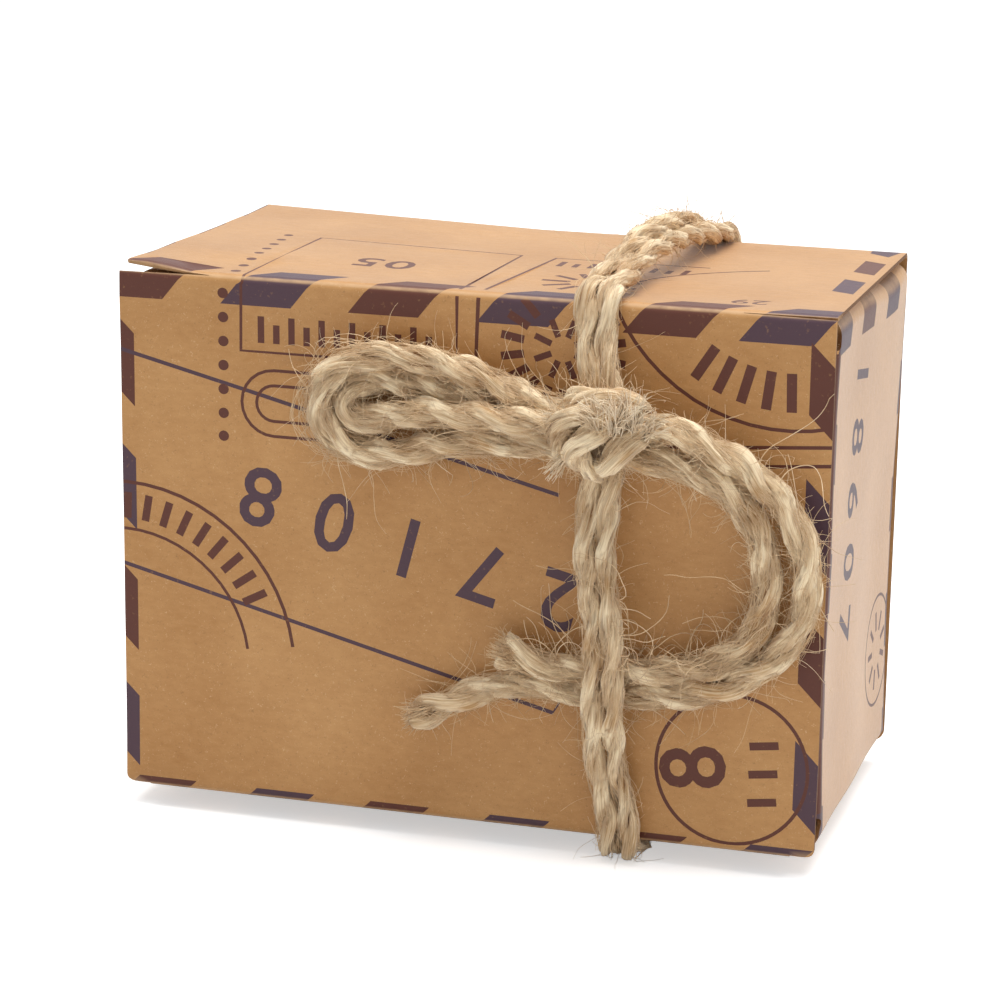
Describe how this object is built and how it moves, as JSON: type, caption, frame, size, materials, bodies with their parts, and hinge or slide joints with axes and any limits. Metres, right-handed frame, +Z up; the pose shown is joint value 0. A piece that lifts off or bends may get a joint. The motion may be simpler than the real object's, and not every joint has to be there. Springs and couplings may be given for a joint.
{
  "type": "candy box",
  "caption": "Small folding carton of kraft card with tucked end panels, tied round with doubled jute twine in a half bow.",
  "frame": {"origin": "below the middle of the banded carton, level with the underside of the twine that passes below it; the carton's own middle lies 1.6 mm behind it, because the band stands off the front", "axes": "+Z up, the front panel with the bow faces -Y, the end panels face -X and +X"},
  "size_m": [0.08, 0.056, 0.0648],
  "materials": {
    "kraft_card": "matte",
    "jute_twine": "matte"
  },
  "bodies": {
    "root": {"carton": "kraft_card", "knot": "jute_twine", "band_strand_left": "jute_twine", "band_strand_right": "jute_twine", "bow_loop_outer": "jute_twine", "bow_loop_inner": "jute_twine", "tail_long": "jute_twine", "tail_short": "jute_twine"}
  },
  "joints": []
}
